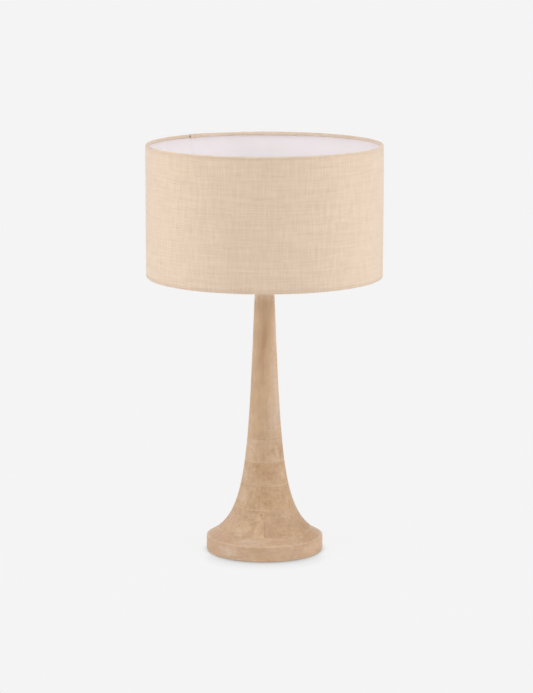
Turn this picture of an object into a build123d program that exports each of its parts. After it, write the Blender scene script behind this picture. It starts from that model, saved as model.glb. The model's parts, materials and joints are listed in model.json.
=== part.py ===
from build123d import *
import os
from math import cos, degrees, radians, sin, sqrt, tan

# Table lamp: a turned body of stacked, glued wooden boards under a straight drum shade of woven fabric.
# Millimetres, +Z up. The origin is the middle of the pad's underside, where the lamp stands.
# The front is -Y. The lead enters at the back, +Y, and the switch knob points to +X.

# Wooden body: an upright rim, then one flaring curve up to a slim neck
FOOT_DIAMETER = 176.4
RIM_HEIGHT = 21.3
RIM_ROUND = 1.6
FOOT_EASE = 0.8
BODY_HEIGHT = 410.5
NECK_DIAMETER = 28.4
FLARE_ANGLE = 26.2
FLARE_REACH = 68.2
TAPER_ANGLE = 2.24
TAPER_REACH = 281.8

# Boards that the body is glued up from, below the one long neck piece
FOOT_BOARD = 31.5
TIER_BOARD = 35.4
SINGLE_TIERS = 3

# Pad, lead inlet and the rod that clamps the body
FELT_THICKNESS = 1.5
FELT_INSET = 1.2
ROD_DIAMETER = 10.0
ROD_BORE = 6.6
ROD_CLEARANCE = 0.3
ROD_PROJECTION = 3.0
THREAD_FIT = 0.05
NUT_WIDTH = 17.0
NUT_HEIGHT = 6.0
NUT_CHAMFER = 0.8
WASHER_DIAMETER = 34.0
WASHER_THICKNESS = 2.0
RECESS_CLEARANCE = 3.0
LEAD_ROOM = 8.0
LEAD_PASSAGE_DIAMETER = 9.0
INLET_BORE = 7.2
BUSHING_DIAMETER = 12.0
BUSHING_LENGTH = 20.0
BUSHING_FLANGE_DIAMETER = 15.0
BUSHING_FLANGE_THICKNESS = 2.5
BUSHING_ROUND = 0.9
BUSHING_FIT = 0.1
SPOT_FACE_DEPTH = 1.0
SPOT_FACE_MARGIN = 0.5

# Ring and nut on top of the neck
CHECK_RING_THICKNESS = 3.0
CHECK_RING_OVERHANG = 1.0
CHECK_RING_ROUND = 1.2
NECK_NUT_HEIGHT = 5.0

# Bulb with an Edison screw cap; the lampholder's diameters grow outwards from this cap
BULB_CAP_DIAMETER = 26.0
BULB_CAP_LENGTH = 21.0
BULB_CAP_WALL = 0.5
BULB_CAP_SHOULDER = 1.5
BULB_DIAMETER = 60.0
BULB_LENGTH = 108.0
BULB_NECK_FLARE = 14.0
BULB_TANGENT_ANGLE = 24.0
BULB_NECK_PULL = 16.0
BULB_GLASS_WALL = 0.8
BULB_GLASS_SEAT = 3.0
BULB_TIP_DIAMETER = 9.0
BULB_TIP_HEIGHT = 1.6
BULB_INSULATOR_HEIGHT = 3.4
BULB_FIT = 0.05
BULB_TIP_GAP = 0.3

# Lampholder
SCREW_CLEARANCE = 0.35
SCREW_SHELL_WALL = 0.5
SCREW_SHELL_DEPTH = 22.0
SCREW_SHELL_OPENING = 14.0
LINER_GAP = 0.5
LINER_THICKNESS = 0.7
LINER_MARGIN = 1.0
SHEET = 0.9
SNAP_FIT = 0.05
CAP_HUB_DIAMETER = 15.0
CAP_HUB_HEIGHT = 8.0
CAP_RIM_HEIGHT = 9.0
CAP_ROUND = 2.5
SHELL_LAP = 6.0
SHELL_LIP = 1.0
THREAD_STEP = 2.0
THREAD_LENGTH = 15.0
SHOULDER_WIDTH = 2.4
SHOULDER_THICKNESS = 2.5
BLOCK_CHAMFER = 1.4
BLOCK_ROOF = 3.0
TERMINAL_HEAD_DIAMETER = 6.0
TERMINAL_HEAD_THICKNESS = 1.6
TERMINAL_SHANK_DIAMETER = 3.0
TERMINAL_SHANK_LENGTH = 4.0
TERMINAL_SLOT = 0.8
TERMINAL_RISE = 3.6
TERMINAL_RECESS = 2.0
CONTACT_WIDTH = 5.0
CONTACT_THICKNESS = 0.6
CONTACT_REACH = 5.2
CONTACT_RISE = 2.6

# Rotary switch
SWITCH_RISE = 4.5
SHAFT_DIAMETER = 4.0
SHAFT_FIT = 0.05
SHAFT_TAIL = 3.0
SHAFT_HOLE_MARGIN = 0.6
CAM_WIDTH = 8.0
CAM_LOBE_RADIUS = 5.0
CAM_ROUND = 1.2
CAM_FIT = 0.02
CHAMBER_CLEARANCE = 0.5
KNOB_GAP = 2.5
KNOB_LENGTH = 17.0
KNOB_SKIRT_DIAMETER = 14.0
KNOB_SKIRT_LENGTH = 3.0
KNOB_GRIP_DIAMETER = 12.4
KNOB_END_DIAMETER = 10.4
KNOB_END_ROUND = 1.5
KNOB_SHAFT_DEPTH = 11.0
KNOB_FLUTES = 12
KNOB_FLUTE_DIAMETER = 2.0

# Shade: fabric rolled round a wire ring at each end, its edge tucked behind the wire, with a lining behind it
SHADE_DIAMETER = 355.6
SHADE_HEIGHT = 199.3
FITTER_RECESS = 46.75
FABRIC_THICKNESS = 0.9
LINING_THICKNESS = 0.6
FRAME_WIRE = 2.3
WIRE_CLEARANCE = 0.3
HEM_TUCK_ANGLE = 100.0
SEAM_ANGLE = 130.0
SEAM_WIDTH = 14.0
SEAM_STEP = 0.5

# Fitter: a flat ring that drops over the lampholder's thread, carried by wire arms
ARM_COUNT = 3
ARM_FIRST_ANGLE = 90.0
ARM_BEND_RADIUS = 14.0
ARM_BITE = 0.5
HUB_CLEARANCE = 0.5
HUB_SHEET = 1.6
HUB_LIP_HEIGHT = 5.0
HUB_LIP_ROOM = 1.6
HUB_ROUND = 1.0
HUB_SEAT_GAP = 0.05
LOCK_RING_HEIGHT = 8.0
LOCK_RING_WALL = 3.8
LOCK_RING_FIT = 0.08
LOCK_RING_NOTCHES = 20
LOCK_RING_NOTCH_DIAMETER = 3.0
LOCK_RING_NOTCH_DEPTH = 0.9
LOCK_RING_FLANGE = 2.0

# Heights of the wooden body
foot_radius = FOOT_DIAMETER / 2
neck_radius = NECK_DIAMETER / 2
rod_radius = ROD_DIAMETER / 2
rod_bore_in_wood = rod_radius + ROD_CLEARANCE
threaded_bore = rod_radius + THREAD_FIT
wood_bottom = FELT_THICKNESS
rim_top = wood_bottom + RIM_HEIGHT
body_top = wood_bottom + BODY_HEIGHT
foot_top = wood_bottom + FOOT_BOARD
paired_tier_top = foot_top + TIER_BOARD
neck_piece_bottom = paired_tier_top + SINGLE_TIERS * TIER_BOARD

# Clamp under the foot
recess_radius = WASHER_DIAMETER / 2 + RECESS_CLEARANCE
recess_top = wood_bottom + WASHER_THICKNESS + NUT_HEIGHT + ROD_PROJECTION + LEAD_ROOM
washer_bottom = recess_top - WASHER_THICKNESS
nut_bottom = washer_bottom - NUT_HEIGHT
rod_bottom = nut_bottom - ROD_PROJECTION
inlet_height = wood_bottom + RIM_HEIGHT / 2
spot_face_y = foot_radius - SPOT_FACE_DEPTH
bushing_inner_y = spot_face_y - BUSHING_LENGTH

# Lampholder radii, from the bulb's cap outwards
bulb_cap_radius = BULB_CAP_DIAMETER / 2
screw_shell_inner = bulb_cap_radius + SCREW_CLEARANCE
screw_shell_outer = screw_shell_inner + SCREW_SHELL_WALL
block_radius = screw_shell_outer
liner_inner = screw_shell_outer + LINER_GAP
liner_outer = liner_inner + LINER_THICKNESS
shell_inner = liner_outer + SNAP_FIT
shell_outer = shell_inner + SHEET
cap_inner = shell_outer + SNAP_FIT
cap_outer = cap_inner + SHEET
hub_radius = CAP_HUB_DIAMETER / 2
thread_radius = shell_outer + THREAD_STEP
shoulder_radius = thread_radius + SHOULDER_WIDTH
terminal_flat = block_radius - TERMINAL_RECESS

# Lampholder heights; the cap's bell and the shell's shoulder rise at 45 degrees
check_ring_top = body_top + CHECK_RING_THICKNESS
socket_bottom = check_ring_top + NECK_NUT_HEIGHT
bell_bottom = socket_bottom + CAP_HUB_HEIGHT
bell_top = bell_bottom + cap_outer - hub_radius
bell_wall_rise = SHEET * sqrt(2)
bell_floor = bell_bottom + SHEET
cap_top = bell_top + CAP_RIM_HEIGHT
shell_bottom = cap_top - SHELL_LAP
switch_height = cap_top + SWITCH_RISE
block_seat = bell_bottom + (block_radius - hub_radius) + bell_wall_rise + SNAP_FIT
block_bottom = block_seat - BLOCK_CHAMFER
chamber_top = switch_height + CAM_LOBE_RADIUS + CHAMBER_CLEARANCE
block_top = chamber_top + BLOCK_ROOF
screw_shell_top = block_top + SCREW_SHELL_DEPTH
shell_top = screw_shell_top + SHELL_LIP
shoulder_top = shell_top - THREAD_LENGTH
shoulder_bottom = shoulder_top - SHOULDER_THICKNESS
terminal_height = block_seat + TERMINAL_RISE
contact_top = block_top + CONTACT_RISE + CONTACT_THICKNESS

# Bulb heights
bulb_tip = contact_top + BULB_TIP_GAP
bulb_insulator_bottom = bulb_tip + BULB_TIP_HEIGHT
bulb_cap_bottom = bulb_insulator_bottom + BULB_INSULATOR_HEIGHT
bulb_cap_top = bulb_cap_bottom + BULB_CAP_LENGTH
bulb_top = bulb_tip + BULB_LENGTH
bulb_radius = BULB_DIAMETER / 2
bulb_centre = bulb_top - bulb_radius

# Switch lengths along +X
knob_inner_x = cap_outer + KNOB_GAP
shaft_inner_x = -CAM_WIDTH / 2 - CHAMBER_CLEARANCE - SHAFT_TAIL
shaft_outer_x = knob_inner_x + KNOB_SHAFT_DEPTH
shaft_radius = SHAFT_DIAMETER / 2
shaft_hole_radius = shaft_radius + SHAFT_HOLE_MARGIN

# Fitter and shade
hub_bottom = shoulder_top + HUB_SEAT_GAP
hub_top = hub_bottom + HUB_SHEET
hub_lip_bottom = hub_top - HUB_LIP_HEIGHT
hub_inner = thread_radius + HUB_CLEARANCE
hub_lip_inner = shoulder_radius + HUB_LIP_ROOM
hub_outer = hub_lip_inner + HUB_SHEET
lock_ring_inner = thread_radius + LOCK_RING_FIT
lock_ring_outer = lock_ring_inner + LOCK_RING_WALL
lock_ring_bottom = hub_top + HUB_SEAT_GAP
arm_height = hub_lip_bottom + HUB_LIP_HEIGHT / 2
shade_radius = SHADE_DIAMETER / 2
shade_bottom = shoulder_top - FITTER_RECESS
shade_top = shade_bottom + SHADE_HEIGHT
wire_radius = FRAME_WIRE / 2
pocket_radius = (LINING_THICKNESS + FRAME_WIRE + 2 * WIRE_CLEARANCE) / 2
roll_radius = pocket_radius + FABRIC_THICKNESS
roll_axis = shade_radius - roll_radius
fabric_inner = shade_radius - FABRIC_THICKNESS
lining_inner = fabric_inner - LINING_THICKNESS
ring_radius = lining_inner - WIRE_CLEARANCE - wire_radius
bottom_roll_height = shade_bottom + roll_radius
top_roll_height = shade_top - roll_radius
seam_arc = degrees(SEAM_WIDTH / shade_radius)
arm_angles = [ARM_FIRST_ANGLE + 360 / ARM_COUNT * index for index in range(ARM_COUNT)]

UPWARD = (Align.CENTER, Align.CENTER, Align.MIN)


def outline(*points):
    """Closed straight-sided outline through points given as (radius, height)."""
    return make_face(Polyline(*points, close=True))


def turned(shape, arc=360):
    """Revolves an outline of (radius, height) about the lamp's axis."""
    return revolve(Plane.XZ * shape, Axis.Z, arc)


def tube(inner, outer, bottom, top):
    """Plain ring or pipe on the lamp's axis."""
    return turned(outline((inner, bottom), (outer, bottom), (outer, top), (inner, top)))


def upright_cylinder(radius, bottom, top):
    return Pos(0, 0, bottom) * Cylinder(radius, top - bottom, align=UPWARD)


def cylinder_along_x(radius, start, end, height):
    return Pos(start, 0, height) * Rot(0, 90, 0) * Cylinder(radius, end - start, align=UPWARD)


def cylinder_along_y(radius, start, end, height):
    return Pos(0, start, height) * Rot(-90, 0, 0) * Cylinder(radius, end - start, align=UPWARD)


def body_outline():
    """Half of the turned body: rim, rounded edge, one flaring curve and the neck's top."""
    turn = 90 - FLARE_ANGLE
    edge_setback = RIM_ROUND * tan(radians(turn / 2))
    flare = radians(FLARE_ANGLE)
    taper = radians(TAPER_ANGLE)
    flare_handle = (foot_radius - FLARE_REACH * cos(flare), rim_top + FLARE_REACH * sin(flare))
    taper_handle = (neck_radius + TAPER_REACH * sin(taper), body_top - TAPER_REACH * cos(taper))
    rim_end = (foot_radius, rim_top - edge_setback)
    edge = JernArc(rim_end, (0, 1), RIM_ROUND, turn)
    curve = Bezier(edge @ 1, flare_handle, taper_handle, (neck_radius, body_top))
    under = Polyline(
        (neck_radius, body_top),
        (0, body_top),
        (0, wood_bottom),
        (foot_radius - FOOT_EASE, wood_bottom),
        (foot_radius, wood_bottom + FOOT_EASE),
        rim_end,
    )
    return make_face([edge, curve, under])


def board_outline(bottom, top):
    """The part of the body's outline that lies in one board, outside the rod's bore."""
    board = outline(
        (rod_bore_in_wood, bottom),
        (foot_radius + RIM_ROUND, bottom),
        (foot_radius + RIM_ROUND, top),
        (rod_bore_in_wood, top),
    )
    return body_outline() & board


def base_disc():
    """Lowest board, with the clamp's recess and the lead's passage out to the back."""
    disc = turned(board_outline(wood_bottom, foot_top))
    recess = upright_cylinder(recess_radius, wood_bottom, recess_top)
    passage = cylinder_along_y(LEAD_PASSAGE_DIAMETER / 2, 0, foot_radius, inlet_height)
    seat = cylinder_along_y(BUSHING_DIAMETER / 2 + BUSHING_FIT, bushing_inner_y, foot_radius, inlet_height)
    spot_radius = BUSHING_FLANGE_DIAMETER / 2 + SPOT_FACE_MARGIN
    spot_face = cylinder_along_y(spot_radius, spot_face_y, foot_radius + SPOT_FACE_DEPTH, inlet_height)
    return disc - recess - passage - seat - spot_face


def paired_board(side):
    """One of the two boards that meet on the middle plane of the first tier, on the -X or +X side."""
    back_half = turned(board_outline(foot_top, paired_tier_top), 180)
    return Rot(0, 0, -90 * side) * back_half


def single_tier(index):
    bottom = paired_tier_top + index * TIER_BOARD
    return turned(board_outline(bottom, bottom + TIER_BOARD))


def neck_column():
    return turned(board_outline(neck_piece_bottom, body_top))


def felt_pad():
    return upright_cylinder(foot_radius - FELT_INSET, 0, wood_bottom)


def hex_nut(bottom, height):
    """Hexagonal nut with its corners turned off at both ends."""
    hexagon = RegularPolygon(NUT_WIDTH / 2, 6, major_radius=False)
    prism = Pos(0, 0, bottom) * extrude(hexagon, height)
    corner = NUT_WIDTH / 2 / cos(radians(30))
    drop = NUT_CHAMFER * tan(radians(30))
    barrel = turned(
        outline(
            (threaded_bore, bottom),
            (corner - NUT_CHAMFER, bottom),
            (corner, bottom + drop),
            (corner, bottom + height - drop),
            (corner - NUT_CHAMFER, bottom + height),
            (threaded_bore, bottom + height),
        )
    )
    return prism & barrel


def cord_bushing():
    """Flanged bush that lines the lead's way out of the rim."""
    barrel = cylinder_along_y(BUSHING_DIAMETER / 2, bushing_inner_y, spot_face_y, inlet_height)
    flange_end = spot_face_y + BUSHING_FLANGE_THICKNESS
    flange = cylinder_along_y(BUSHING_FLANGE_DIAMETER / 2, spot_face_y, flange_end, inlet_height)
    flange = fillet(flange.edges().group_by(Axis.Y)[-1], BUSHING_ROUND)
    bore = cylinder_along_y(INLET_BORE / 2, bushing_inner_y, flange_end, inlet_height)
    return barrel + flange - bore


def check_ring():
    """Turned ring that caps the neck."""
    ring = tube(rod_bore_in_wood, neck_radius + CHECK_RING_OVERHANG, body_top, check_ring_top)
    outer_edge = ring.edges().group_by(Axis.Z)[-1].sort_by(SortBy.RADIUS)[-1]
    return fillet(outer_edge, CHECK_RING_ROUND)


def socket_cap():
    """Bell-shaped lower half of the lampholder, with a hub on the rod's thread."""
    outside = FilletPolyline(
        (hub_radius, socket_bottom),
        (hub_radius, bell_bottom),
        (cap_outer, bell_top),
        (cap_outer, cap_top),
        radius=CAP_ROUND,
    )
    inside = Polyline(
        (cap_outer, cap_top),
        (cap_inner, cap_top),
        (cap_inner, bell_bottom + cap_inner - hub_radius + bell_wall_rise),
        (hub_radius + bell_floor - bell_bottom - bell_wall_rise, bell_floor),
        (threaded_bore, bell_floor),
        (threaded_bore, socket_bottom),
        (hub_radius, socket_bottom),
    )
    return turned(make_face([outside, inside]))


def socket_shell():
    """Upper half of the lampholder: it snaps into the cap and carries the fitter's shoulder and thread."""
    shell = turned(
        outline(
            (shell_inner, shell_bottom),
            (shell_outer, shell_bottom),
            (shell_outer, shoulder_bottom - shoulder_radius + shell_outer),
            (shoulder_radius, shoulder_bottom),
            (shoulder_radius, shoulder_top),
            (thread_radius, shoulder_top),
            (thread_radius, shell_top),
            (thread_radius - SHEET, shell_top),
            (thread_radius - SHEET, shoulder_bottom),
            (shell_inner, shoulder_bottom - thread_radius + SHEET + shell_inner),
        )
    )
    return shell - cylinder_along_x(shaft_hole_radius, 0, shoulder_radius, switch_height)


def socket_liner():
    """Insulating sleeve between the shell and the live parts."""
    sleeve = tube(liner_inner, liner_outer, shell_bottom + LINER_MARGIN, screw_shell_top)
    return sleeve - cylinder_along_x(shaft_hole_radius, 0, shoulder_radius, switch_height)


def socket_block():
    """Moulded block that holds the contacts and the switch, seated in the cap's bell."""
    block = turned(
        outline(
            (0, block_bottom),
            (block_radius - BLOCK_CHAMFER, block_bottom),
            (block_radius, block_seat),
            (block_radius, block_top),
            (0, block_top),
        )
    )
    chamber_length = CAM_WIDTH + 2 * CHAMBER_CLEARANCE
    chamber_width = 2 * (CAM_LOBE_RADIUS + CHAMBER_CLEARANCE)
    chamber_depth = chamber_top - block_bottom
    chamber = Pos(0, 0, block_bottom) * Box(chamber_length, chamber_width, chamber_depth, align=UPWARD)
    bearing_radius = shaft_radius + SHAFT_FIT
    bearing = cylinder_along_x(bearing_radius, shaft_inner_x - SHAFT_FIT, block_radius, switch_height)
    block = block - chamber - bearing
    for side in (-1, 1):
        block -= Rot(0, 0, 90 * side) * terminal_pocket()
    return block


def terminal_pocket():
    """Flat on the block's +X side with the hole that a terminal screw goes into."""
    pocket_width = TERMINAL_HEAD_DIAMETER + 2 * CHAMBER_CLEARANCE
    pocket = Box(block_radius, pocket_width, pocket_width, align=(Align.MIN, Align.CENTER, Align.CENTER))
    hole_radius = TERMINAL_SHANK_DIAMETER / 2 + THREAD_FIT
    hole_end = terminal_flat - TERMINAL_SHANK_LENGTH
    hole = cylinder_along_x(hole_radius, hole_end, terminal_flat, terminal_height)
    return Pos(terminal_flat, 0, terminal_height) * pocket + hole


def terminal_screws():
    """Slotted binding screws on both sides of the block."""
    shank_end = terminal_flat - TERMINAL_SHANK_LENGTH
    head_end = terminal_flat + TERMINAL_HEAD_THICKNESS
    screw = cylinder_along_x(TERMINAL_SHANK_DIAMETER / 2, shank_end, terminal_flat, terminal_height)
    screw += cylinder_along_x(TERMINAL_HEAD_DIAMETER / 2, terminal_flat, head_end, terminal_height)
    slot = Pos(head_end, 0, terminal_height) * Box(TERMINAL_SLOT * 2, TERMINAL_SLOT, TERMINAL_HEAD_DIAMETER)
    screw -= slot
    return Compound([Rot(0, 0, 90 * side) * screw.solid() for side in (-1, 1)])


def screw_shell():
    """Threaded cup that takes the bulb's cap, drawn here at its inside diameter."""
    floor_top = block_top + SCREW_SHELL_WALL
    opening = SCREW_SHELL_OPENING / 2
    return turned(
        outline(
            (opening, block_top),
            (screw_shell_outer, block_top),
            (screw_shell_outer, screw_shell_top),
            (screw_shell_inner, screw_shell_top),
            (screw_shell_inner, floor_top),
            (opening, floor_top),
        )
    )


def centre_contact():
    """Bent spring leaf under the bulb's tip."""
    knee = -CONTACT_REACH / 4
    tip = CONTACT_REACH / 2
    leaf = outline(
        (-CONTACT_REACH, block_top),
        (knee, block_top),
        (tip, block_top + CONTACT_RISE),
        (CONTACT_REACH, block_top + CONTACT_RISE),
        (CONTACT_REACH, contact_top),
        (tip, contact_top),
        (knee, block_top + CONTACT_THICKNESS),
        (-CONTACT_REACH, block_top + CONTACT_THICKNESS),
    )
    return extrude(Plane.XZ * leaf, CONTACT_WIDTH / 2, both=True)


def switch_shaft():
    return cylinder_along_x(shaft_radius, shaft_inner_x, shaft_outer_x, switch_height)


def switch_cam():
    """Four-lobed rotor that works the switch's contacts."""
    lobes = RectangleRounded(CAM_LOBE_RADIUS * sqrt(2), CAM_LOBE_RADIUS * sqrt(2), CAM_ROUND)
    rotor = extrude(lobes - Circle(shaft_radius + CAM_FIT), CAM_WIDTH / 2, both=True)
    return Pos(0, 0, switch_height) * Rot(0, 90, 0) * rotor


def switch_knob():
    """Fluted turn knob with a skirt at its inner end."""
    grip = KNOB_GRIP_DIAMETER / 2
    end = KNOB_END_DIAMETER / 2
    body = turned(
        outline(
            (0, 0),
            (KNOB_SKIRT_DIAMETER / 2, 0),
            (KNOB_SKIRT_DIAMETER / 2, KNOB_SKIRT_LENGTH),
            (grip, KNOB_SKIRT_LENGTH),
            (end, KNOB_LENGTH),
            (0, KNOB_LENGTH),
        )
    )
    body = fillet(body.edges().group_by(Axis.Z)[-1], KNOB_END_ROUND)
    lean = degrees((grip - end) / (KNOB_LENGTH - KNOB_SKIRT_LENGTH))
    flute = Cylinder(KNOB_FLUTE_DIAMETER / 2, KNOB_LENGTH, align=UPWARD)
    flute = Pos(grip + KNOB_FLUTE_DIAMETER / 4, 0, KNOB_SKIRT_LENGTH) * Rot(0, -lean, 0) * flute
    for index in range(KNOB_FLUTES):
        body -= Rot(0, 0, 360 / KNOB_FLUTES * index) * flute
    body -= Cylinder(shaft_radius + CAM_FIT, KNOB_SHAFT_DEPTH, align=UPWARD)
    return Pos(knob_inner_x, 0, switch_height) * Rot(0, 90, 0) * body


def bulb_envelope(inset):
    """Pear-shaped outline from the cap up to the crown, drawn in by an inset."""
    seat_radius = bulb_cap_radius - BULB_CAP_WALL - BULB_FIT - inset
    radius = bulb_radius - inset
    angle = radians(BULB_TANGENT_ANGLE)
    seat = (seat_radius, bulb_cap_top - BULB_GLASS_SEAT)
    rim = (seat_radius, bulb_cap_top)
    join = (radius * cos(angle), bulb_centre - radius * sin(angle))
    rim_handle = (seat_radius, bulb_cap_top + BULB_NECK_FLARE)
    join_handle = (join[0] - BULB_NECK_PULL * sin(angle), join[1] - BULB_NECK_PULL * cos(angle))
    crown = (0, bulb_centre + radius)
    shoulder_angle = radians((90 - BULB_TANGENT_ANGLE) / 2)
    middle = (radius * cos(shoulder_angle), bulb_centre + radius * sin(shoulder_angle))
    return make_face([
        Line(seat, rim),
        Bezier(rim, rim_handle, join_handle, join),
        ThreePointArc(join, middle, crown),
        Polyline(crown, (0, seat[1]), seat),
    ])


def bulb_globe():
    return turned(bulb_envelope(0)) - turned(bulb_envelope(BULB_GLASS_WALL))


def bulb_cap():
    """Thin metal cap, drawn at the thread's outside diameter."""
    inner = bulb_cap_radius - BULB_CAP_WALL
    neck = bulb_cap_radius - BULB_CAP_SHOULDER
    shoulder = bulb_cap_bottom + BULB_CAP_SHOULDER
    return turned(
        outline(
            (neck - BULB_CAP_WALL, bulb_cap_bottom),
            (neck, bulb_cap_bottom),
            (bulb_cap_radius, shoulder),
            (bulb_cap_radius, bulb_cap_top),
            (inner, bulb_cap_top),
            (inner, shoulder),
        )
    )


def bulb_insulator():
    """Glass cone between the cap and the tip."""
    return turned(
        outline(
            (0, bulb_insulator_bottom),
            (BULB_TIP_DIAMETER / 2, bulb_insulator_bottom),
            (bulb_cap_radius - BULB_CAP_SHOULDER, bulb_cap_bottom),
            (0, bulb_cap_bottom),
        )
    )


def bulb_contact():
    """Domed tip of the bulb."""
    radius = BULB_TIP_DIAMETER / 2
    dome = TangentArc((0, bulb_tip), (radius, bulb_insulator_bottom), tangent=(1, 0))
    back = Polyline((radius, bulb_insulator_bottom), (0, bulb_insulator_bottom), (0, bulb_tip))
    return turned(make_face([dome, back]))


def lock_ring():
    """Notched ring nut that holds the fitter down on the shoulder."""
    flange_top = lock_ring_bottom + LOCK_RING_FLANGE
    grip_radius = lock_ring_outer - LOCK_RING_NOTCH_DEPTH / 2
    ring_top = lock_ring_bottom + LOCK_RING_HEIGHT
    ring = turned(
        outline(
            (lock_ring_inner, lock_ring_bottom),
            (lock_ring_outer, lock_ring_bottom),
            (lock_ring_outer, flange_top),
            (grip_radius, flange_top),
            (grip_radius, ring_top),
            (lock_ring_inner, ring_top),
        )
    )
    notch = upright_cylinder(LOCK_RING_NOTCH_DIAMETER / 2, flange_top, ring_top)
    notch = Pos(grip_radius + LOCK_RING_NOTCH_DIAMETER / 2 - LOCK_RING_NOTCH_DEPTH, 0, 0) * notch
    for index in range(LOCK_RING_NOTCHES):
        ring -= Rot(0, 0, 360 / LOCK_RING_NOTCHES * index) * notch
    return ring


def hem_roll(height, turn):
    """Both faces and the cut edge of the fabric's roll round a wire ring, upwards or downwards by a turn."""
    outside = CenterArc((roll_axis, height), roll_radius, 0, turn)
    inside = CenterArc((roll_axis, height), pocket_radius, 0, turn)
    return [outside, inside, Line(outside @ 1, inside @ 1)]


def shade_fabric():
    """One strip of fabric: the wall, rolled round both rings, slit at the arms, with a lapped seam."""
    roll_turn = 180 + HEM_TUCK_ANGLE
    strip = make_face([
        Line((shade_radius, bottom_roll_height), (shade_radius, top_roll_height)),
        *hem_roll(top_roll_height, roll_turn),
        Line((fabric_inner, top_roll_height), (fabric_inner, bottom_roll_height)),
        *hem_roll(bottom_roll_height, -roll_turn),
    ])
    lap = outline(
        (fabric_inner + FABRIC_THICKNESS / 2, bottom_roll_height),
        (shade_radius + SEAM_STEP, bottom_roll_height),
        (shade_radius + SEAM_STEP, top_roll_height),
        (fabric_inner + FABRIC_THICKNESS / 2, top_roll_height),
    )
    fabric = turned(strip) + Rot(0, 0, SEAM_ANGLE) * turned(lap, seam_arc)
    slit_radius = wire_radius + WIRE_CLEARANCE / 2
    slit = upright_cylinder(slit_radius, bottom_roll_height, bottom_roll_height + 2 * roll_radius)
    for angle in arm_angles:
        fabric -= Rot(0, 0, angle) * Pos(ring_radius, 0, 0) * slit
    return fabric


def shade_lining():
    """Stiff white backing behind the fabric, lapped at the same seam."""
    sheet = tube(lining_inner, fabric_inner, bottom_roll_height, top_roll_height)
    lap_bottom = bottom_roll_height + roll_radius + WIRE_CLEARANCE
    lap_top = top_roll_height - roll_radius - WIRE_CLEARANCE
    lap = outline(
        (lining_inner - SEAM_STEP, lap_bottom),
        (lining_inner + LINING_THICKNESS / 2, lap_bottom),
        (lining_inner + LINING_THICKNESS / 2, lap_top),
        (lining_inner - SEAM_STEP, lap_top),
    )
    return sheet + Rot(0, 0, SEAM_ANGLE - seam_arc) * turned(lap, seam_arc)


def wire_ring(height):
    return Pos(0, 0, height) * Torus(ring_radius, wire_radius)


def fitter_hub():
    """Flat ring that drops over the lampholder's thread, with a lip turned down round the shoulder."""
    ring = turned(
        outline(
            (hub_inner, hub_bottom),
            (hub_lip_inner, hub_bottom),
            (hub_lip_inner, hub_lip_bottom),
            (hub_outer, hub_lip_bottom),
            (hub_outer, hub_top),
            (hub_inner, hub_top),
        )
    )
    outer_edge = ring.edges().group_by(Axis.Z)[-1].sort_by(SortBy.RADIUS)[-1]
    return fillet(outer_edge, HUB_ROUND)


def fitter_arms():
    """Wires welded to the hub's lip, out to the shade's wall and down to the bottom ring."""
    path = FilletPolyline(
        (hub_outer - ARM_BITE, 0, arm_height),
        (ring_radius, 0, arm_height),
        (ring_radius, 0, bottom_roll_height + wire_radius - ARM_BITE),
        radius=ARM_BEND_RADIUS,
    )
    arm = sweep(Plane(path @ 0, z_dir=path % 0) * Circle(wire_radius), path)
    arm = arm - wire_ring(bottom_roll_height) - fitter_hub()
    return Compound([Rot(0, 0, angle) * arm.solid() for angle in arm_angles])


parts = {
    "felt_pad": felt_pad(),
    "base_disc": base_disc(),
    "lower_board_left": paired_board(-1),
    "lower_board_right": paired_board(1),
    "neck_column": neck_column(),
    "threaded_rod": tube(ROD_BORE / 2, rod_radius, rod_bottom, bell_bottom),
    "base_washer": tube(threaded_bore, WASHER_DIAMETER / 2, washer_bottom, recess_top),
    "base_nut": hex_nut(nut_bottom, NUT_HEIGHT),
    "cord_bushing": cord_bushing(),
    "check_ring": check_ring(),
    "neck_nut": hex_nut(check_ring_top, NECK_NUT_HEIGHT),
    "socket_cap": socket_cap(),
    "socket_shell": socket_shell(),
    "socket_liner": socket_liner(),
    "socket_block": socket_block(),
    "terminal_screws": terminal_screws(),
    "screw_shell": screw_shell(),
    "centre_contact": centre_contact(),
    "switch_shaft": switch_shaft(),
    "switch_cam": switch_cam(),
    "switch_knob": switch_knob(),
    "lock_ring": lock_ring(),
    "fitter_hub": fitter_hub(),
    "fitter_arms": fitter_arms(),
    "bottom_ring": wire_ring(bottom_roll_height),
    "top_ring": wire_ring(top_roll_height),
    "shade_lining": shade_lining(),
    "shade_fabric": shade_fabric(),
    "bulb_globe": bulb_globe(),
    "bulb_cap": bulb_cap(),
    "bulb_insulator": bulb_insulator(),
    "bulb_contact": bulb_contact(),
}
for tier in range(SINGLE_TIERS):
    parts[f"tier_board_{tier + 1}"] = single_tier(tier)

os.makedirs("parts", exist_ok=True)
for name, shape in parts.items():
    export_step(shape, f"parts/{name}.step")
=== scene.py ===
import json
from math import cos, hypot, pi, radians, sin

import bmesh
import bpy
from mathutils import Matrix, Vector, noise


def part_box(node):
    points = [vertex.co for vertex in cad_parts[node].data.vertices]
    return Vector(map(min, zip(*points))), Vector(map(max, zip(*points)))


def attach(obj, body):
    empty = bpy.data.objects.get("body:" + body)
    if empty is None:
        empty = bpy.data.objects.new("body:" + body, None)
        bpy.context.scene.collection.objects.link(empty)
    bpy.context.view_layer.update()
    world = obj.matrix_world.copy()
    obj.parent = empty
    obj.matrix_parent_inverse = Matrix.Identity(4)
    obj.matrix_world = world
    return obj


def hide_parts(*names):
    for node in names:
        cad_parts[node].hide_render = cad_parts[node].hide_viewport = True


# Table lamp: a turned body of glued boards under a straight drum shade of slubby woven fabric.
# Metres, in the frame of the solids: +Z up, the front is -Y, the lead's inlet at +Y and the knob at +X.
MM = 0.001


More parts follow.
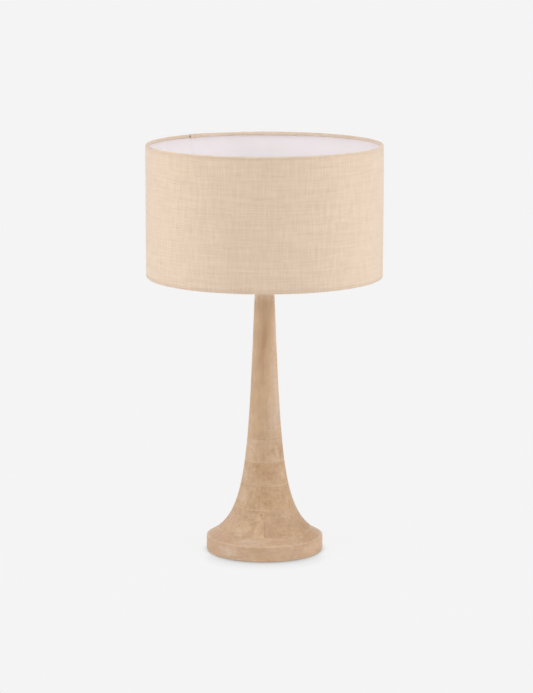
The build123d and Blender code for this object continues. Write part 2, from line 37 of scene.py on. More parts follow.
def rgb(red, green, blue):
    """Linear colour of an 8-bit display colour."""
    return tuple(
        level / 12.92 if level <= 0.04045 else ((level + 0.055) / 1.055) ** 2.4
        for level in (red / 255, green / 255, blue / 255)
    )


def stain(x, z, reach, tone, depth):
    """A stain on a board's front: its middle and reach in millimetres, its tone and how much of it shows."""
    return {"x": x * MM, "z": z * MM, "reach": [size * MM for size in reach], "tone": tone, "depth": depth}


# Camera, fitted to the photograph
CAMERA_PLACE = (2.9 * MM, -4314.9 * MM, 1085.6 * MM)
CAMERA_DOWN = 10.15
CAMERA_LENS = 150.94
CAMERA_REACH = 200.0

# Light: a pale surround, large soft lights at both sides, one overhead and weaker ones in front and behind
BACKGROUND = 0.905
AMBIENT = 0.45
LIGHT_AIM = (0.0, 0.0, 310 * MM)
LIGHTS = {
    "left": {"place": (-2.1, -0.75, 0.75), "size": (1.5, 1.9), "watts": 28.0},
    "right": {"place": (2.1, -0.75, 0.75), "size": (1.5, 1.9), "watts": 29.0},
    "over": {"place": (0.0, -0.4, 2.6), "size": (2.2, 2.2), "watts": 27.0},
    "front": {"place": (0.0, -3.0, 1.2), "size": (1.6, 1.6), "watts": 4.0},
    "back": {"place": (0.0, 2.6, 1.0), "size": (2.4, 1.6), "watts": 16.0},
}

# Floor: its shadows reach further and are deeper in front and behind than beside the foot
FLOOR_RADIUS = 14.0
FLOOR_SIDES = 96
FLOOR_COLOUR = 0.86
SHADOWS = {
    "soft": {"reach": (10 * MM, 48 * MM), "depth": (0.28, 0.72)},
    "contact": {"reach": (4 * MM, 12 * MM), "depth": (0.3, 0.3)},
}
SHADOW_TURN = (0.3, 0.92)
SHADOW_SAMPLES = 12
PLAIN_FLOOR = {"from": 0.2, "to": 0.7, "share": (0.94, 1.0)}

# Shade: sizes of the solids
SHADE_RADIUS = 177.8 * MM
FABRIC = 0.9 * MM
ROLL_RADIUS = 2.65 * MM
ROLL_AXIS = SHADE_RADIUS - ROLL_RADIUS
BOTTOM_ROLL = 423.35 * MM
TOP_ROLL = 617.35 * MM
WALL_HEIGHT = TOP_ROLL - BOTTOM_ROLL
HEM_TUCK = radians(100)
ARM_ANGLES = [radians(angle) for angle in (90, 210, 330)]
SEAM_WIDTH = 14 * MM

# Cloth of the shade: the strip's free end lies where the photograph shows it, the wall draws in beside the
# rolls, the lower roll opens round the arms, and the outer end steps over the inner one
LAP_END = radians(131)
LAP_ANGLE = SEAM_WIDTH / SHADE_RADIUS
STRIP_ANGLE = 2 * pi + LAP_ANGLE
LAP_RISE = {"outer": 0.6 * MM, "inner": 0.65 * MM, "laps": 2.5}
LAP_SINK = {"outer": 0.3 * MM, "laps": 1.6}
GROOVE = {"depth": 0.45 * MM, "deepest": 2 * MM, "end": 12 * MM}
OPEN_TUCK = radians(15)
ARM_OPENING = (4.5 * MM, 10 * MM)
WALL_WAVE = {"height": 0.12 * MM, "length": 55 * MM, "seed": 1.0, "row": 70 * MM}
ROLL_LUMPS = [
    {"share": 0.07, "length": 9 * MM, "seed": 5.0},
    {"share": 0.05, "length": 3.5 * MM, "seed": 9.0},
]
STRIP_COLUMNS = 400
WALL_ROWS = 44
ROLL_ROWS = 13

# Cloth on its baked picture: the outer face in two banks of columns, the inner face in a thin strip
BANK_COLUMNS = STRIP_COLUMNS // 2
OUTER_BANK = {"start": 0.005, "step": 0.47, "height": 0.455}
INNER_BANK = {"start": 0.945, "height": 0.05}

# Noise: its detail, and the part of it that is spread over 0 to 1
SMOOTH_NOISE = 1.0
USUAL_NOISE = 2.0
FINE_NOISE = 3.0
NOISE_SPREAD = (0.3, 0.7)

# Weave: yarns of one pitch. Noise steps from yarn to yarn and drifts along each of them, per metre
YARN_PITCH = 1.3 * MM
WEAVE_SHAKE = {"scale": 40.0, "reach": 0.5 * MM, "detail": SMOOTH_NOISE}
WARP = {"step": 3.71, "drift": 34.0}
WEFT = {"step": 3.37, "drift": 18.0}
YARN_TONES = (rgb(216, 192, 168), rgb(231, 209, 187))
CROSSING_BLEND = 0.12
PILLOW_ROUND = 0.5
# Painted shade in the gaps: the weave is darker where one yarn meets the next
YARN_GAP_SHADE = (0.89, 1.01)
SLUB = {"scale": (1.6, 1.0, 1.0), "spread": (0.66, 0.74), "level": 0.93}
THICK_SPOT = {"scale": (1.0, 1.3, 1.0), "spread": (0.70, 0.78), "level": 0.95}
YARN_RELIEF = 0.8
WEAVE_BUMP = 0.22 * MM
WEAVE_BROWNING = (1.2, 1.45)

# Bands along the cloth's edges: how far up from the wall's foot or from the top roll's crown, and how bright
# Painted shade with some soiling: darker along the lower roll's outer side
LOWER_SHADE_AND_SOIL = {"middle": -0.4 * ROLL_RADIUS, "half_width": 2.2 * ROLL_RADIUS, "level": 0.93}
# Painted shade: darker round the top roll's crown, which faces up into the light
CROWN_SHADE = {"middle": -0.5 * ROLL_RADIUS, "half_width": 2.1 * ROLL_RADIUS, "level": 0.94}
# Painted light: paler where the top roll turns under, which lies in shade
TUCK_LIGHT = {"from": 0.9 * ROLL_RADIUS, "to": 1.9 * ROLL_RADIUS, "level": 1.14}
# Painted shadow: a dark spot low on the top roll, beside the lap's end
LAP_SHADOW = {"middle": 1.65 * ROLL_RADIUS, "half_width": 0.8 * ROLL_RADIUS, "level": 0.4}
LAP_SHADOW_ALONG = {"beside_lap": 1 * MM, "half_length": 2.4 * MM}

# Foot and felt pad: sizes of the solids. The pad's soft edge is ragged and spreads under the weight
RIM_TOP = 22.8 * MM
FELT_RADIUS = 87.0 * MM
FELT_THICKNESS = 1.5 * MM
FELT_SPREAD = 0.5 * MM
FELT_SOFT = 0.3 * MM
FELT_RAGGED = [
    {"depth": 0.15 * MM, "length": 6 * MM, "seed": 2.0},
    {"depth": 0.05 * MM, "length": 1.5 * MM, "seed": 3.0},
]
FELT_HOLLOW = {"depth": 0.07 * MM, "length": 14 * MM}
FELT_RINGS = 12
FELT_COLUMNS = 180

# Lampholder and bulb cap: sizes of the solids, with the threads that they carry
SHELL_INNER = 15.1 * MM
SHELL_OUTER = 16.0 * MM
SHELL_SHEET = 0.9 * MM
SHELL_BOTTOM = 440.45 * MM
SHELL_TOP = 482.45 * MM
SHOULDER_RADIUS = 20.4 * MM
SHOULDER_BOTTOM = 464.95 * MM
SHOULDER_TOP = 467.45 * MM
THREAD_RADIUS = 18.0 * MM
RING_THREAD = {"low": 468.2 * MM, "high": 481.8 * MM, "pitch": 2.5 * MM, "depth": 0.55 * MM, "steps": 9}
SHELL_COLUMNS = 128
SHAFT_HEIGHT = 450.95 * MM
SHAFT_HOLE = 2.6 * MM
SHAFT_HOLE_SIDES = 40
CUP_RADIUS = 13.1 * MM
CUP_WALL = 0.45 * MM
CUP_OPENING = 7.0 * MM
CUP_FLOOR = 459.45 * MM
CUP_TOP = 481.45 * MM
CUP_THREAD = {"low": 461.2 * MM, "high": 481.0 * MM, "pitch": 3.63 * MM, "depth": -0.4 * MM, "steps": 14}
CAP_RADIUS = 13.0 * MM
CAP_WALL = 0.5 * MM
CAP_SHOULDER = 1.5 * MM
CAP_BOTTOM = 467.95 * MM
CAP_TOP = 488.95 * MM
CAP_THREAD = {"low": 469.6 * MM, "high": 486.2 * MM, "pitch": 3.63 * MM, "depth": 1.0 * MM, "steps": 16}
SCREW_COLUMNS = 96

# Weld beads where the arms meet the hub
HUB_OUTER = 23.6 * MM
ARM_HEIGHT = 466.6 * MM
WELD_SIZE = (1.3 * MM, 2.2 * MM, 1.9 * MM)
WELD_LUMPS = {"share": 0.16, "length": 1.1 * MM}
WELD_FINENESS = 3

# Meshes: the angle of a sharp edge, and how fast a seed moves through the noise
SHARP_ANGLE = radians(38)
SEED_SLOPE = 0.37

# Plain materials: scales of noise per metre, depths of bump and how much the darker tone keeps
FILM = {"cloud": 22.0, "levels": (0.97, 1.0), "tooth": 900.0, "bump": 0.02 * MM}
METAL = {"lines": 5200.0, "tarnish": 160.0, "spread": (0.35, 0.7), "share": 0.5, "dull": 0.72}
METAL_BUMP = 0.015 * MM
METAL_ROUGHER = 0.14
MOULDED = {"drift": 240.0, "peel": 1500.0, "bump": 0.02 * MM}
MOULDED_ROUGHNESS = (-0.05, 0.07)
FELTED = {"strands": (900.0, 2600.0, 1500.0), "clumps": 420.0, "dark": 0.72, "bump": 0.2 * MM}
OPAL = {"coating": 70.0, "thin": 0.965, "ripple": 1100.0, "bump": 0.01 * MM}

# Grain of the wood: noise drawn out along the fibre, the part of it that shows and how it lightens or darkens
WANDER = {"scale": 19.0, "reach": 16 * MM}
RINGS = {
    "flatten": (0.03, 1.0, 1.0), "scale": 240.0, "detail": FINE_NOISE,
    "spread": (0.32, 0.68), "depth": 0.04,
}
GRAIN = {
    "fibre": {"scale": (14.0, 420.0, 420.0), "detail": USUAL_NOISE, "spread": (0.3, 0.7), "depth": 0.05},
    "clouds": {"scale": (26.0, 62.0, 62.0), "detail": USUAL_NOISE, "spread": (0.34, 0.66), "depth": 0.05},
    "smudges": {"scale": (230.0, 230.0, 75.0), "detail": FINE_NOISE, "spread": (0.40, 0.72), "depth": -0.10},
    "figure": {"scale": (95.0, 420.0, 420.0), "detail": FINE_NOISE, "spread": (0.50, 0.70), "depth": -0.09},
    "pores": {"scale": (110.0, 1900.0, 1900.0), "detail": SMOOTH_NOISE, "spread": (0.6, 0.7), "depth": -0.12},
}
SMUDGE_WANDER = 0.5
PATCHES = {"scale": 33.0, "spread": (0.33, 0.67)}
WOOD_LEVEL = 0.985
WOOD_BROWNING = (1.25, 1.6)
WOOD_SPECULAR = 0.3
WOOD_ROUGHNESS = (0.50, 0.62)
TOOL_MARKS = 1400.0
WOOD_BUMP = 0.06 * MM

# Marks on the wood
GLUE = {"half_width": 0.6 * MM, "scale": 90.0, "limits": (0.35, 0.6), "depth": -0.14}
MIDDLE_GLUE_HALF_WIDTH = 0.9 * MM
PALE_EDGE = {"rise": 1.3 * MM, "half_width": 1.4 * MM, "scale": 60.0, "limits": (0.48, 0.6), "depth": 0.09}
LINE_LEAN = 8.0
LIGHT_RING = {"half_width": 2.2 * MM, "depth": 0.07}
KNOT_SHAKE = {"scale": 260.0, "reach": 2.5 * MM}
KNOT_EYE = {"edge": (2.6 * MM, 0.9 * MM), "depth": 0.75}
KNOT_HALO = {"radius": 3.6 * MM, "half_width": 1.6 * MM, "depth": 0.06}
STAIN_EDGE = {"scale": 210.0, "detail": FINE_NOISE, "share": 1.1, "limits": (1.55, 0.75)}
STAIN_FRONT = (45 * MM, 20 * MM)
HEART_DRIFT = (-55 * MM, 20 * MM)
HEART_SWAY = {"scale": 120.0, "flatten": 0.2, "reach": 9 * MM}
HEART_FRONT = (0.0, -8 * MM)
HEART_STREAK = {"edge": (14 * MM, 2 * MM), "from": 210 * MM, "to": 330 * MM, "levels": (0.25, 0.95)}
HEART_STREAK_DEPTH = 0.55
HEART_END_FADE = 14 * MM
HEART_CORE = {"edge": (7 * MM, 1 * MM), "flatten": 0.2, "depth": 0.4}

# Tones of the wood
TAN = rgb(187, 156, 125)
ROSE = rgb(193, 161, 135)
STRAW = rgb(184, 152, 118)
UMBER = rgb(180, 148, 119)
PALE = rgb(197, 168, 140)
BLEACHED = rgb(200, 176, 153)
CHALKY = rgb(216, 194, 170)
LIGHT_TAN = rgb(194, 163, 131)
HEART = rgb(166, 132, 99)
RED_HEART = rgb(168, 126, 92)

# Boards: each has its own pith, grain direction, tones and marks
BOARDS = {
    "base_disc": {
        "place": (0.2, 0.09, -0.03), "turn": (0, 2, 6), "tones": (TAN, ROSE),
        "grain": 0.8, "smudges": (70.0, 70.0, 420.0), "glue_sides": (None, None),
        "worn_and_lit_edges": [
            # Wear and a painted highlight along the rim's top edge
            {"height": RIM_TOP + 0.5 * MM, "half_width": 1.2 * MM, "depth": 0.1},
            # Painted light on the foot's lower edge, which the felt's gap leaves in shade
            {"height": FELT_THICKNESS, "half_width": 1.6 * MM, "depth": 0.35},
        ],
        "stains": [
            stain(-24, 27.5, (28, 7), BLEACHED, 0.6),
            stain(4, 8, (44, 9), LIGHT_TAN, 0.75),
            stain(-16, 8, (12, 9), PALE, 0.6),
            stain(-74, 12, (7, 7), UMBER, 0.3),
            stain(-54, 12, (18, 12), BLEACHED, 0.85),
            stain(70, 13, (22, 12), PALE, 0.85),
            stain(-72, 28, (28, 10), UMBER, 0.7),
            stain(70, 28, (32, 12), HEART, 0.55),
        ],
    },
    "lower_board_left": {
        "place": (-0.3, 0.06, 0.02), "turn": (0, 10, -14), "tones": (UMBER, LIGHT_TAN),
        "glue_sides": (None, -1), "middle_glue": (50 * MM, 58 * MM), "knot": (-5 * MM, -48.7 * MM, 63.5 * MM),
        "stains": [
            stain(-18, 66.5, (20, 3.5), HEART, 0.45),
            stain(-16, 50, (7, 6), HEART, 0.3),
            stain(-46, 54, (18, 14), ROSE, 0.8),
            stain(-60, 38, (12, 6), TAN, 0.4),
            stain(-37, 38, (16, 7), BLEACHED, 0.5),
        ],
    },
    "lower_board_right": {
        "place": (0.4, 0.07, 0.09), "turn": (0, -8, 12), "tones": (TAN, UMBER),
        "glue_sides": (None, -1), "middle_glue": (50 * MM, 58 * MM),
        "stains": [
            stain(3, 64, (12, 5), HEART, 0.35),
            stain(21, 50, (4, 9), HEART, 0.35),
            stain(38, 46, (18, 9), HEART, 0.25),
            stain(60, 40, (20, 14), HEART, 0.55),
            stain(30, 59, (9, 6), ROSE, 0.45),
            stain(30, 37, (22, 7), HEART, 0.35),
        ],
    },
    "tier_board_1": {
        "place": (0.1, 0.05, 0.03), "turn": (0, 4, 24), "tones": (STRAW, TAN),
        "grain": 1.1, "glue_sides": (-1, -1), "pale_side": -1,
        "stains": [
            stain(2, 92, (15, 11), HEART, 0.3),
            stain(9, 82, (4, 6), RED_HEART, 0.25),
            stain(27, 88, (14, 17), HEART, 0.25),
            stain(-32, 88, (8, 18), BLEACHED, 0.5),
        ],
    },
    "tier_board_2": {
        "place": (-0.2, 0.06, 0.16), "turn": (0, -6, -20), "tones": (STRAW, TAN),
        "glue_sides": (-1, -1), "pale_side": 1,
        "stains": [
            stain(5, 122, (13, 14), RED_HEART, 0.3),
            stain(-12, 135, (11, 5), HEART, 0.65),
            stain(-12, 121, (9, 12), HEART, 0.2),
            stain(27, 121, (6, 14), PALE, 0.5),
            stain(-30, 121, (6, 16), BLEACHED, 0.5),
        ],
    },
    "tier_board_3": {
        "place": (-0.021, 0.2, 0.141), "turn": (0, 0, 86), "tones": (TAN, PALE),
        "grain": 0.8, "light_ring": 28 * MM, "glue_sides": (-1, 1), "pale_side": -1,
        "stains": [
            stain(11, 158.5, (2.5, 2.5), RED_HEART, 0.6),
            stain(15, 168, (9, 6), HEART, 0.3),
            stain(12, 157, (7, 8), HEART, 0.25),
            stain(26, 157, (10, 20), HEART, 0.5),
        ],
    },
    "neck_column": {
        "place": (-0.004, 0.012, 0.1), "turn": (0, 88.6, 0), "tones": (TAN, LIGHT_TAN),
        "grain": 0.6, "smudges": (150.0, 150.0, 14.0), "glue_sides": (1, 0),
        "heart": {"height": 328 * MM, "drift": (-6.5 * MM, 1.5 * MM), "end": 392 * MM},
        "stains": [
            stain(13, 285, (7, 45), BLEACHED, 0.45),
            stain(12, 210, (17, 45), BLEACHED, 0.5),
            stain(20, 240, (10, 80), BLEACHED, 0.8),
            stain(-12, 325, (6, 30), UMBER, 0.6),
            stain(7, 342, (4, 20), HEART, 0.4),
            # These stains make the neck paler at its top, just under the shade's edge
            stain(0, 400, (22, 13), BLEACHED, 0.9),
            stain(17, 340, (5, 50), BLEACHED, 0.8),
            stain(-16, 399, (8, 22), CHALKY, 0.9),
            stain(16, 399, (7, 22), CHALKY, 0.7),
        ],
    },
}

# Solids of the frame: their box, their nodes and the slot of each node
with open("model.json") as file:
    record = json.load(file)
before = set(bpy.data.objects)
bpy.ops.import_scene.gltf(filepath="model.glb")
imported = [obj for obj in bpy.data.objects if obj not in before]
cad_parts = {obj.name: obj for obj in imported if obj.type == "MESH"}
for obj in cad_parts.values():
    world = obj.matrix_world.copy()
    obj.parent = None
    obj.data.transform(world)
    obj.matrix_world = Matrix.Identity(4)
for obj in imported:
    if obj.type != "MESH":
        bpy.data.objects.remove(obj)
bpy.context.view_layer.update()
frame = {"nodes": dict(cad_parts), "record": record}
nodes = frame["nodes"]
slots = {part["node"]: part["material_slot"] for part in frame["record"]["subparts"]}


class Finish:
    """One procedural material. Most methods add nodes and give back an output."""

    COLOUR_A = 6
    COLOUR_B = 7
    COLOUR_OUT = 2

    def __init__(self, name, shader):
        self.material = bpy.data.materials.new(name)
        self.material.use_nodes = True
        self.tree = self.material.node_tree
        self.shader = self.tree.nodes["Principled BSDF"]
        for socket, value in shader.items():
            self.set(socket, value)

    def feed(self, socket, value):
        if isinstance(value, bpy.types.NodeSocket):
            self.tree.links.new(value, socket)
        else:
            socket.default_value = value

    def set(self, socket, value):
        if socket == "Base Color" and isinstance(value, tuple):
            value = (*value, 1.0)
        self.feed(self.shader.inputs[socket], value)

    def add(self, kind, inputs, settings=()):
        node = self.tree.nodes.new("ShaderNode" + kind)
        for name, value in dict(settings).items():
            setattr(node, name, value)
        for name, value in inputs.items():
            self.feed(node.inputs[name], value)
        return node

    def place(self):
        return self.add("TexCoord", {}).outputs["Object"]

    def maths(self, operation, a, b=0.0):
        return self.add("Math", {0: a, 1: b}, {"operation": operation}).outputs[0]

    def plus(self, a, b):
        return self.maths("ADD", a, b)

    def minus(self, a, b):
        return self.maths("SUBTRACT", a, b)

    def times(self, a, b):
        return self.maths("MULTIPLY", a, b)

    def vector(self, operation, a, b):
        return self.add("VectorMath", {0: a, 1: b}, {"operation": operation}).outputs["Vector"]

    def scaled(self, a, factor):
        return self.add("VectorMath", {0: a, "Scale": factor}, {"operation": "SCALE"}).outputs["Vector"]

    def length(self, a):
        return self.add("VectorMath", {0: a}, {"operation": "LENGTH"}).outputs["Value"]

    def split(self, a):
        return self.add("SeparateXYZ", {0: a}).outputs

    def join(self, x, y, z=0.0):
        return self.add("CombineXYZ", {0: x, 1: y, 2: z}).outputs[0]

    def turned(self, a, place, turn):
        """Coordinates of a board that lies at a place, turned by angles in degrees."""
        inputs = {"Vector": a, "Location": place, "Rotation": [radians(angle) for angle in turn]}
        return self.add("Mapping", inputs, {"vector_type": "TEXTURE"}).outputs[0]

    def noise(self, a, scale, detail=USUAL_NOISE):
        return self.add("TexNoise", {"Vector": a, "Scale": scale, "Detail": detail}).outputs

    def noise_line(self, w, scale, detail=USUAL_NOISE):
        inputs = {"W": w, "Scale": scale, "Detail": detail}
        return self.add("TexNoise", inputs, {"noise_dimensions": "1D"}).outputs[0]

    def drift(self, a, scale, detail=USUAL_NOISE, spread=NOISE_SPREAD):
        """Noise of one scale, spread over 0 to 1."""
        return self.ramp(self.noise(a, scale, detail)[0], *spread)

    def stretched(self, a, scale, detail, spread):
        """Noise with its own scale along each axis, spread over 0 to 1."""
        return self.drift(self.vector("MULTIPLY", a, scale), 1.0, detail, spread)

    def shake(self, a, scale, reach, detail=USUAL_NOISE):
        """A wandering step of up to half a reach each way."""
        centred = self.vector("SUBTRACT", self.noise(a, scale, detail)[1], (0.5, 0.5, 0.5))
        return self.scaled(centred, reach)

    def ramp(self, value, low, high, start=0.0, end=1.0):
        inputs = {"Value": value, "From Min": low, "From Max": high, "To Min": start, "To Max": end}
        return self.add("MapRange", inputs, {"interpolation_type": "SMOOTHSTEP"}).outputs[0]

    def band(self, value, middle, half_width):
        """1 within a narrow band of a value, fading to 0 at its edges."""
        away = self.maths("ABSOLUTE", self.minus(value, middle))
        return self.ramp(away, half_width, half_width / 2)

    def mix(self, factor, a, b):
        node = self.add("Mix", {0: factor}, {"data_type": "RGBA"})
        for index, value in ((self.COLOUR_A, a), (self.COLOUR_B, b)):
            self.feed(node.inputs[index], (*value, 1.0) if isinstance(value, tuple) else value)
        return node.outputs[self.COLOUR_OUT]

    def shaded(self, colour, shade, powers):
        """A colour times a shade, with powers of it for green and blue, so that dark parts are warmer."""
        warmed = self.join(shade, *[self.maths("POWER", shade, power) for power in powers])
        return self.vector("MULTIPLY", colour, warmed)

    def bump(self, height, distance):
        inputs = {"Height": height, "Distance": distance, "Strength": 1.0}
        self.set("Normal", self.add("Bump", inputs).outputs[0])


def wood(name, board, planes):
    """Turned board: growth rings round its own pith, layers of grain, marks at its edges and stains."""
    finish = Finish(name, {"Specular IOR Level": WOOD_SPECULAR})
    here = finish.place()
    across = finish.split(here)
    own = finish.turned(here, board["place"], board["turn"])
    wander = finish.shake(own, WANDER["scale"], WANDER["reach"])
    wavy = finish.vector("ADD", own, wander)
    smudged = finish.vector("ADD", here, finish.scaled(wander, SMUDGE_WANDER))
    from_pith = finish.length(finish.vector("MULTIPLY", wavy, RINGS["flatten"]))
    ring = finish.ramp(finish.noise_line(from_pith, RINGS["scale"], RINGS["detail"]), *RINGS["spread"])
    marks = [(ring, RINGS["depth"])]
    layers = {}
    for kind, grain in GRAIN.items():
        where = smudged if kind == "smudges" else wavy
        scale = board.get(kind, grain["scale"])
        layers[kind] = finish.stretched(where, scale, grain["detail"], grain["spread"])
        marks.append((layers[kind], grain["depth"] * board.get("grain", 1.0)))
    marks += edge_marks(finish, here, across, board, planes)
    if "light_ring" in board:
        arc = finish.band(from_pith, board["light_ring"], LIGHT_RING["half_width"])
        marks.append((arc, LIGHT_RING["depth"]))
    colour = finish.mix(finish.drift(wavy, PATCHES["scale"], spread=PATCHES["spread"]), *board["tones"])
    for stain in board["stains"]:
        colour = stained(finish, across, colour, **stain)
    if "knot" in board:
        shaken = finish.vector("ADD", here, finish.shake(here, KNOT_SHAKE["scale"], KNOT_SHAKE["reach"]))
        away = finish.length(finish.vector("SUBTRACT", shaken, board["knot"]))
        marks.append((finish.band(away, KNOT_HALO["radius"], KNOT_HALO["half_width"]), KNOT_HALO["depth"]))
        colour = finish.mix(finish.ramp(away, *KNOT_EYE["edge"], 0.0, KNOT_EYE["depth"]), colour, RED_HEART)
    if "heart" in board:
        colour = heart_streak(finish, across, colour, **board["heart"])
    shade = WOOD_LEVEL
    for mark, depth in marks:
        shade = finish.plus(finish.times(mark, depth), shade)
    finish.set("Base Color", finish.shaded(colour, shade, WOOD_BROWNING))
    finish.set("Roughness", finish.ramp(layers["fibre"], 0.0, 1.0, *WOOD_ROUGHNESS))
    turning = finish.noise_line(across["Z"], TOOL_MARKS, SMOOTH_NOISE)
    finish.bump(finish.minus(finish.plus(layers["fibre"], turning), layers["pores"]), WOOD_BUMP)
    return finish.material


def edge_marks(finish, here, across, board, planes):
    """Marks at a board's edges and their depths: glue lines, a pale edge above the lower one, and bands of
    wear and painted light along given edges.
    """
    marks = []
    for plane, side in zip(planes, board["glue_sides"]):
        if side is not None:
            line = finish.band(across["Z"], plane, GLUE["half_width"])
            marks.append((finish.times(line, patchy(finish, here, across, side, GLUE)), GLUE["depth"]))
    if "middle_glue" in board:
        low, high = board["middle_glue"]
        line = finish.band(across["X"], 0.0, MIDDLE_GLUE_HALF_WIDTH)
        marks.append((finish.times(line, finish.ramp(across["Z"], high, low)), GLUE["depth"]))
    pale = finish.band(across["Z"], min(planes) + PALE_EDGE["rise"], PALE_EDGE["half_width"])
    parts = patchy(finish, here, across, board.get("pale_side", 0), PALE_EDGE)
    marks.append((finish.times(pale, parts), PALE_EDGE["depth"]))
    # Bands of wear and painted light along given edges
    for edge in board.get("worn_and_lit_edges", ()):
        marks.append((finish.band(across["Z"], edge["height"], edge["half_width"]), edge["depth"]))
    return marks


def patchy(finish, here, across, side, line):
    """Which stretches of a line show: by chance, and more towards one side, -1 for left or 1 for right."""
    chance = finish.noise(here, line["scale"], SMOOTH_NOISE)[0]
    return finish.ramp(finish.plus(chance, finish.times(across["X"], LINE_LEAN * side)), *line["limits"])


def stained(finish, across, colour, x, z, reach, tone, depth):
    """A soft stain of another tone, darker or paler, uneven at its edge, that stops behind the outline."""
    from_x = finish.maths("DIVIDE", finish.minus(across["X"], x), reach[0])
    from_z = finish.maths("DIVIDE", finish.minus(across["Z"], z), reach[1])
    ragged = finish.noise(finish.join(across["X"], across["Z"]), STAIN_EDGE["scale"], STAIN_EDGE["detail"])[0]
    away = finish.plus(finish.length(finish.join(from_x, from_z)), finish.times(ragged, STAIN_EDGE["share"]))
    front = finish.ramp(across["Y"], *STAIN_FRONT)
    share = finish.times(finish.ramp(away, *STAIN_EDGE["limits"], 0.0, depth), front)
    return finish.mix(share, colour, tone)


def heart_streak(finish, across, colour, height, drift, end):
    """Darker heartwood that runs up a post to its end, drifts aside below a height and is reddest there."""
    middle = finish.ramp(across["Z"], height + HEART_DRIFT[0], height + HEART_DRIFT[1], *drift)
    flattened = finish.join(across["X"], across["Y"], finish.times(across["Z"], HEART_SWAY["flatten"]))
    sway = finish.minus(finish.noise(flattened, HEART_SWAY["scale"])[0], 0.5)
    aside = finish.plus(finish.minus(across["X"], middle), finish.times(sway, HEART_SWAY["reach"]))
    front = finish.ramp(across["Y"], *HEART_FRONT)
    streak = finish.times(finish.ramp(finish.maths("ABSOLUTE", aside), *HEART_STREAK["edge"]), front)
    rising = finish.ramp(across["Z"], HEART_STREAK["from"], HEART_STREAK["to"], *HEART_STREAK["levels"])
    fading = finish.ramp(across["Z"], end, end - HEART_END_FADE)
    streak = finish.times(finish.times(streak, rising), fading)
    up = finish.times(finish.minus(across["Z"], height), HEART_CORE["flatten"])
    core = finish.times(finish.ramp(finish.length(finish.join(aside, up)), *HEART_CORE["edge"]), front)
    colour = finish.mix(finish.times(streak, HEART_STREAK_DEPTH), colour, HEART)
    return finish.mix(finish.times(core, HEART_CORE["depth"]), colour, RED_HEART)


def woven():
    """Plain weave of slubby yarns, each with its own drifting tone, painted shade between the yarns, and
    painted light, shade and soiling in bands at the cloth's edges.
    """
    look = {"Roughness": 0.88, "Specular IOR Level": 0.2, "Sheen Weight": 0.38, "Sheen Roughness": 0.5}
    finish = Finish("woven_fabric", look)
    flat = finish.add("UVMap", {}, {"uv_map": "weave"}).outputs[0]
    flat_way = finish.split(flat)
    yarns = finish.scaled(finish.vector("ADD", flat, finish.shake(flat, **WEAVE_SHAKE)), 1 / YARN_PITCH)
    yarn_way = finish.split(yarns)
    waves = [finish.maths("SINE", finish.times(yarn_way[axis], pi)) for axis in ("X", "Y")]
    crossing = finish.times(*waves)
    warp_on_top = finish.ramp(crossing, -CROSSING_BLEND, CROSSING_BLEND)
    warp_number = finish.times(finish.maths("FLOOR", yarn_way["X"]), WARP["step"])
    weft_number = finish.times(finish.maths("FLOOR", yarn_way["Y"]), WEFT["step"])
    warp_yarn = finish.join(warp_number, finish.times(flat_way["Y"], WARP["drift"]))
    weft_yarn = finish.join(finish.times(flat_way["X"], WEFT["drift"]), weft_number)
    tones = {0: warp_on_top, 2: finish.drift(weft_yarn, 1.0), 3: finish.drift(warp_yarn, 1.0)}
    tone = finish.add("Mix", tones).outputs[0]
    slub = finish.stretched(weft_yarn, SLUB["scale"], SMOOTH_NOISE, SLUB["spread"])
    thick_spot = finish.stretched(warp_yarn, THICK_SPOT["scale"], SMOOTH_NOISE, THICK_SPOT["spread"])
    pillow = finish.maths("POWER", finish.maths("ABSOLUTE", crossing), PILLOW_ROUND)
    # Painted shade between the yarns
    shade = finish.ramp(pillow, 0.0, 1.0, *YARN_GAP_SHADE)
    layers = [(slub, SLUB["level"]), (thick_spot, THICK_SPOT["level"]), *edge_bands(finish, flat_way)]
    for layer, level in layers:
        shade = finish.times(shade, finish.ramp(layer, 0.0, 1.0, 1.0, level))
    finish.set("Base Color", finish.shaded(finish.mix(tone, *YARN_TONES), shade, WEAVE_BROWNING))
    relief = finish.times(finish.plus(slub, thick_spot), YARN_RELIEF)
    finish.bump(finish.plus(pillow, relief), WEAVE_BUMP)
    return finish.material


def edge_bands(finish, flat_way):
    """Bands and their levels: painted shade on the top roll's crown, painted light where it tucks in, painted
    shade with soiling along the lower roll and a painted shadow at the lap's end.
    """
    up = flat_way["Y"]
    wall_foot = (pi + HEM_TUCK) * ROLL_RADIUS
    crown = wall_foot + WALL_HEIGHT + pi / 2 * ROLL_RADIUS
    # Painted shade and light along the rolls, and a painted shadow at the lap's end
    crown_shade = finish.band(up, crown + CROWN_SHADE["middle"], CROWN_SHADE["half_width"])
    tuck_light = finish.ramp(up, crown + TUCK_LIGHT["from"], crown + TUCK_LIGHT["to"])
    lower_shade_and_soil = finish.band(up, wall_foot + LOWER_SHADE_AND_SOIL["middle"], LOWER_SHADE_AND_SOIL["half_width"])
    low_on_roll = finish.band(up, crown + LAP_SHADOW["middle"], LAP_SHADOW["half_width"])
    lap_shadow_middle = SEAM_WIDTH + LAP_SHADOW_ALONG["beside_lap"]
    at_lap_end = finish.band(flat_way["X"], lap_shadow_middle, LAP_SHADOW_ALONG["half_length"])
    return [
        (crown_shade, CROWN_SHADE["level"]),
        (tuck_light, TUCK_LIGHT["level"]),
        (lower_shade_and_soil, LOWER_SHADE_AND_SOIL["level"]),
        (finish.times(at_lap_end, low_on_roll), LAP_SHADOW["level"]),
    ]


def dimmed(colour, share):
    """A colour with each level cut to a share."""
    return tuple(level * share for level in colour)


